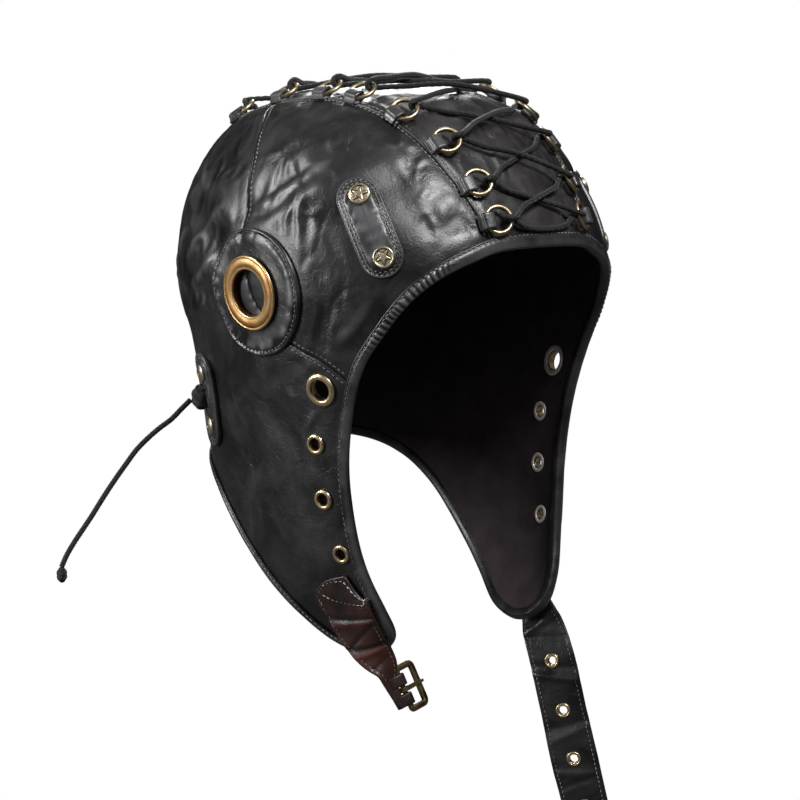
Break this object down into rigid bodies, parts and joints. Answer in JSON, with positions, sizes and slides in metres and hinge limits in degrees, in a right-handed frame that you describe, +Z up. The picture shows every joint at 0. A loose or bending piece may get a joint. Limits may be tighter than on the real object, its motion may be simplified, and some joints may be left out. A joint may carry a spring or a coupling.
{
  "type": "aviator hat",
  "caption": "Black leather aviator hat with laced crown, ear flaps with eyelets, ear discs with brass grommets, a buckle strap and a punched chin strap.",
  "frame": {"origin": "highest point inside the crown, where the hat sits on the wearer's head", "axes": "+Z up, the face looks towards -Y, the wearer's right ear is at -X"},
  "size_m": [0.2132, 0.1959, 0.3642],
  "materials": {
    "black_leather": "semi-gloss, soft grain",
    "black_lining": "matte weave",
    "brown_leather": "worn satin",
    "black_cord": "braided, waxed",
    "aged_brass": "aged, satin",
    "dark_brass": "dark antique"
  },
  "bodies": {
    "hat": {"crown_strip": "black_leather", "flap_panel_right": "black_leather", "temple_panel_right": "black_leather", "flap_panel_left": "black_leather", "temple_panel_left": "black_leather", "lining": "black_lining", "face_binding": "black_leather", "rear_binding": "black_leather", "ear_patch_right": "black_leather", "ear_grommet_right": "aged_brass", "temple_patch_right": "black_leather", "temple_snap_upper_right": "aged_brass", "temple_snap_lower_right": "aged_brass", "nape_patch_right": "black_leather", "nape_stud_upper_right": "aged_brass", "nape_stud_lower_right": "aged_brass", "ear_patch_left": "black_leather", "ear_grommet_left": "aged_brass", "temple_patch_left": "black_leather", "temple_snap_upper_left": "aged_brass", "temple_snap_lower_left": "aged_brass", "nape_patch_left": "black_leather", "nape_stud_upper_left": "aged_brass", "nape_stud_lower_left": "aged_brass", "eyelet_upper_right": "aged_brass", "eyelet_second_right": "aged_brass", "eyelet_third_right": "aged_brass", "eyelet_lower_right": "aged_brass", "eyelet_upper_left": "aged_brass", "eyelet_second_left": "aged_brass", "eyelet_third_left": "aged_brass", "eyelet_lower_left": "aged_brass", "lace_ring_1_right": "aged_brass", "lace_ring_2_right": "aged_brass", "lace_ring_3_right": "aged_brass", "lace_ring_4_right": "aged_brass", "lace_ring_5_right": "aged_brass", "lace_ring_6_right": "aged_brass", "lace_ring_7_right": "aged_brass", "lace_ring_8_right": "aged_brass", "lace_tabs_right": "black_leather", "lace_ring_1_left": "aged_brass", "lace_ring_2_left": "aged_brass", "lace_ring_3_left": "aged_brass", "lace_ring_4_left": "aged_brass", "lace_ring_5_left": "aged_brass", "lace_ring_6_left": "aged_brass", "lace_ring_7_left": "aged_brass", "lace_ring_8_left": "aged_brass", "lace_tabs_left": "black_leather", "crown_lace": "black_cord", "buckle_strap": "brown_leather", "chin_strap": "black_leather", "nape_cord": "black_cord", "nape_cord_knot": "black_cord", "nape_knot": "black_cord"},
    "buckle": {"buckle_frame": "dark_brass"},
    "prong": {"buckle_prong": "dark_brass"}
  },
  "joints": [
    {"name": "buckle_swing", "type": "hinge", "parent": "hat", "child": "buckle", "pos_m": [-0.041, -0.0435, -0.259], "axis": [0.1751, -0.3794, -0.9085], "range_deg": [-60, 30]},
    {"name": "prong_swing", "type": "hinge", "parent": "buckle", "child": "prong", "pos_m": [-0.041, -0.0435, -0.259], "axis": [0.1751, -0.3794, -0.9085], "range_deg": [0, 80]}
  ]
}
